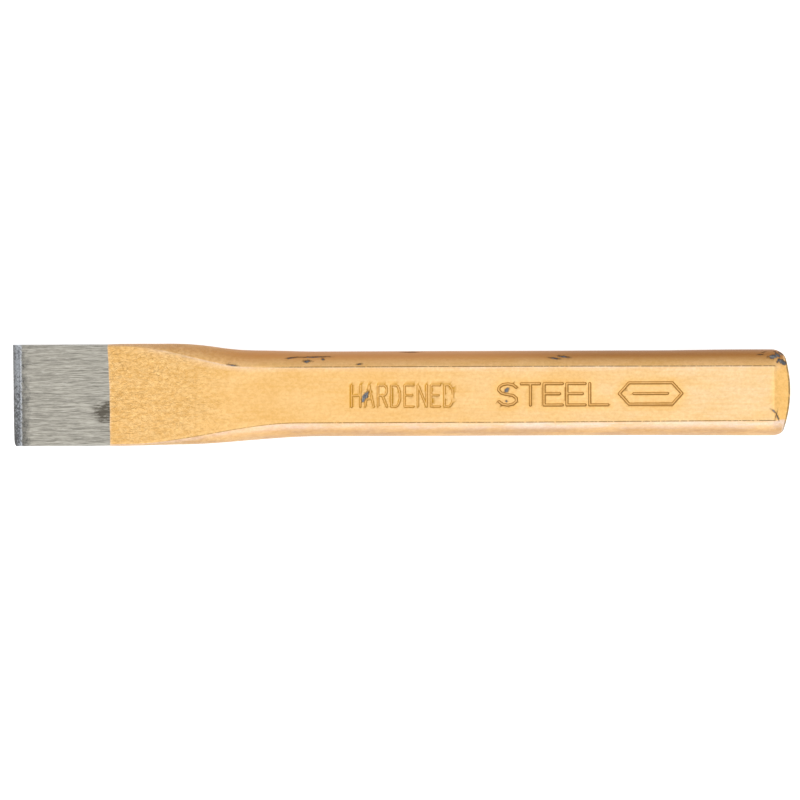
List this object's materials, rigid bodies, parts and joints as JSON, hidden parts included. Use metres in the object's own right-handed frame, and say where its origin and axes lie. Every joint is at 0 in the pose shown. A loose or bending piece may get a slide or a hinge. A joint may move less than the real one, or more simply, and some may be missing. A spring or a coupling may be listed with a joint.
{
  "type": "cold chisel",
  "caption": "Flat cold chisel: flat-oval forged steel bar with a thin flared, ground blade, a swelling neck and a chamfered, crowned struck end, lacquered gold behind the blade.",
  "frame": {"origin": "middle of the underside of the bounding box, with the chisel lying on its lower wide flat", "axes": "+X from the cutting edge to the struck head, +Y across the blade, +Z out of the upper wide flat, which carries the stamped marks"},
  "size_m": [0.15, 0.0198, 0.011],
  "materials": {
    "ground_steel": "ground bare along the blade, fine lengthwise grinding marks, satin",
    "forged_steel": "as forged, dark scale, dull",
    "gold_lacquer": "thin metallic gold lacquer, semi-gloss, worn along the edges of the flats and chipped"
  },
  "bodies": {
    "root": {"cutting_edge": "ground_steel", "blade": "ground_steel", "neck": "forged_steel", "shank": "forged_steel", "head": "forged_steel", "lacquer_coat": "gold_lacquer"}
  },
  "joints": []
}
